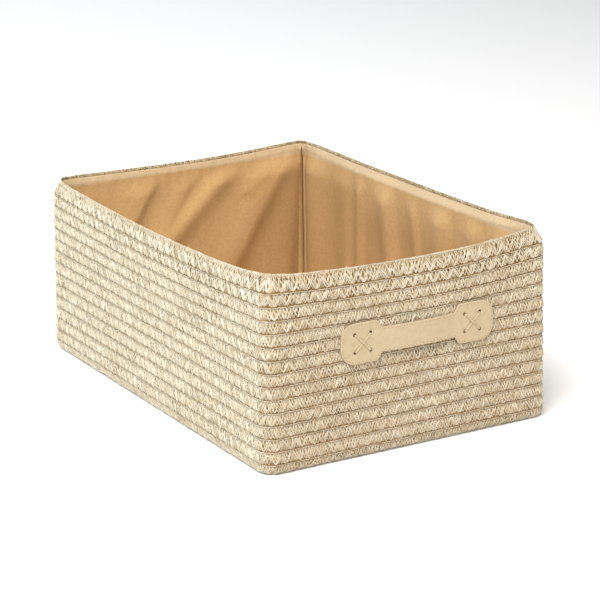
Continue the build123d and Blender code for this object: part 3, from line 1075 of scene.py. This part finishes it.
def make_lace(name, start, end, lift):
    """One flat lace: out of a hole, across the tab and into the opposite hole."""
    start, end = np.array(start), np.array(end)
    span = np.hypot(*(end - start))
    ahead = (end - start) / span
    face = STRAP_THICKNESS / 2
    rest = face + LACE_SINK * LACE_HALF_THICKNESS
    climb = [
        (LACE_ENTRY, face - LACE_DEPTH),
        (LACE_ENTRY, face - LACE_TURN_DROP),
        (LACE_ENTRY + LACE_TURN_RUN, rest),
        ((0.5 - LACE_LIFT_RUN) * span, rest),
    ]
    fall = [(span - along, height) for along, height in reversed(climb)]
    route = rounded(np.array([*climb, (0.5 * span, rest + lift), *fall]), 3)
    path = np.concatenate([start + route[:, :1] * ahead, route[:, 1:]], 1)
    side = np.array([-ahead[1], ahead[0], 0.0])
    tangent = np.gradient(path, axis=0)
    tangent /= np.linalg.norm(tangent, axis=1, keepdims=True)
    outward = np.cross(tangent, side)
    rings = []
    for turn in np.arange(LACE_SIDES) * 2 * math.pi / LACE_SIDES:
        across = LACE_HALF_WIDTH * math.cos(turn) * side
        rings.append(path + across + LACE_HALF_THICKNESS * math.sin(turn) * outward)
    vertices = np.stack(rings, 1).reshape(-1, 3)
    sides = tube_faces(len(path), LACE_SIDES)
    caps = [list(range(LACE_SIDES))[::-1], list(range(len(vertices) - LACE_SIDES, len(vertices)))]
    mesh = bpy.data.meshes.new(name)
    mesh.from_pydata(vertices.tolist(), [], sides[:, ::-1].tolist() + caps)
    mesh.polygons.foreach_set("use_smooth", [True] * len(mesh.polygons))
    return new_object(name, mesh, [LACE])


def settle(piece, strap, side=0):
    """Puts a piece of a strap in its place. A piece with a side, which runs from the shell to the grip, has
    its place baked into its mesh and is attached to no body; others are attached to the shell.
    """
    piece.data.transform(strap.matrix)
    piece.data.update()
    if side:
        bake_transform(piece)
    else:
        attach(piece, "shell")


def make_handle(name, facing):
    """One strap with its stitches and its laces."""
    strap = Strap(name, facing)
    blank = strap_blank(strap)
    shape_strap(strap, blank)
    for side, word in ((-1, "left"), (1, "right")):
        half = half_of(blank, f"{name}_strap_{word}", side)
        settle(half, strap, side)
        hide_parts(f"{name}_handle_tab_{word}", f"{name}_handle_grip")
        stitches = make_stitches(strap, side)
        settle(stitches, strap, side)
        holes = [hole for hole in hole_places(strap) if hole[0] * side > 0]
        low_left, high_left, low_right, high_right = holes
        for kind, start, end, lift in (
            ("under", low_left, high_right, 0.0),
            ("over", high_left, low_right, LACE_LIFT * LACE_HALF_THICKNESS),
        ):
            lace = make_lace(f"{name}_lace_{word}_{kind}", start, end, lift)
            settle(lace, strap)
            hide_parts(f"{name}_handle_cross_laces")
    bpy.data.objects.remove(blank)


make_handle("front", -1)
make_handle("back", 1)


# ---- Floor, light and camera
FLOOR_SIZE = 12.0
FLOOR_COLOUR = (0.96, 0.96, 0.96, 1.0)
WORLD_STRENGTH = 0.12
LAMP_AIM = (0.0, 0.0, 0.08)
CAMERA_AZIMUTH = math.radians(-30.41)
CAMERA_ELEVATION = math.radians(17.03)
CAMERA_ROLL = math.radians(-0.52)
CAMERA_DISTANCE = 2.003
CAMERA_LENS = 137.5
AIM_RIGHT = 9.9 * MM
AIM_UP = 69.1 * MM


def make_floor():
    """A plain pale floor."""
    mesh = bpy.data.meshes.new("floor")
    half = FLOOR_SIZE / 2
    corners = [(-half, -half, 0), (half, -half, 0), (half, half, 0), (-half, half, 0)]
    mesh.from_pydata(corners, [], [(0, 1, 2, 3)])
    look = Look("floor_white", roughness=0.9, specular=0.1)
    look.shader.inputs["Base Color"].default_value = FLOOR_COLOUR
    new_object("floor", mesh, [look.material])


def make_light(name, place, size, power, colour, aim=LAMP_AIM):
    """A soft lamp, size wide and high. It points at the bin if no other aim is given."""
    lamp = bpy.data.lights.new(name, "AREA")
    lamp.shape = "RECTANGLE"
    lamp.size, lamp.size_y = size
    lamp.energy = power
    lamp.color = colour
    holder = new_object(name, lamp)
    holder.location = place
    holder.rotation_euler = (Vector(aim) - Vector(place)).to_track_quat("-Z", "Y").to_euler()


def make_camera():
    """A long lens that looks down on the bin's front left corner. Its aim is right of and above the middle
    of the bin's foot."""
    turn, lift, roll = CAMERA_AZIMUTH, CAMERA_ELEVATION, CAMERA_ROLL
    back = Vector((math.sin(turn) * math.cos(lift), -math.cos(turn) * math.cos(lift), math.sin(lift)))
    right = (-back).cross(Vector((0, 0, 1))).normalized()
    up = right.cross(-back)
    right, up = right * math.cos(roll) + up * math.sin(roll), up * math.cos(roll) - right * math.sin(roll)
    data = bpy.data.cameras.new("camera")
    data.lens = CAMERA_LENS
    camera = new_object("camera", data)
    camera.matrix_world = Matrix((right, up, back)).transposed().to_4x4()
    camera.location = back * CAMERA_DISTANCE + right * AIM_RIGHT + up * AIM_UP
    bpy.context.scene.camera = camera


def make_world():
    """Even white light from all round."""
    world = bpy.data.worlds.new("studio")
    world.use_nodes = True
    background = world.node_tree.nodes["Background"]
    background.inputs["Color"].default_value = (*WHITE, 1.0)
    background.inputs["Strength"].default_value = WORLD_STRENGTH
    bpy.context.scene.world = world


make_floor()
make_world()
make_light("key_left", (-2.0, 0.9, 0.3), (1.4, 0.5), 31.7, (0.71, 0.90, 1.0))
make_light("top_soft", (-1.2, -1.0, 2.1), (1.8, 1.8), 106.8, (1.0, 0.96, 0.95))
make_light("back_soft", (0.2, 2.4, 2.2), (2.0, 2.0), 38.0, (0.93, 0.97, 1.0), aim=(0.2, 2.0, 0.0))
make_light("fill_front", (1.0, -2.3, 1.1), (1.0, 1.0), 32.3, (1.0, 0.955, 0.85))
make_camera()
bpy.context.scene.view_settings.view_transform = "Standard"
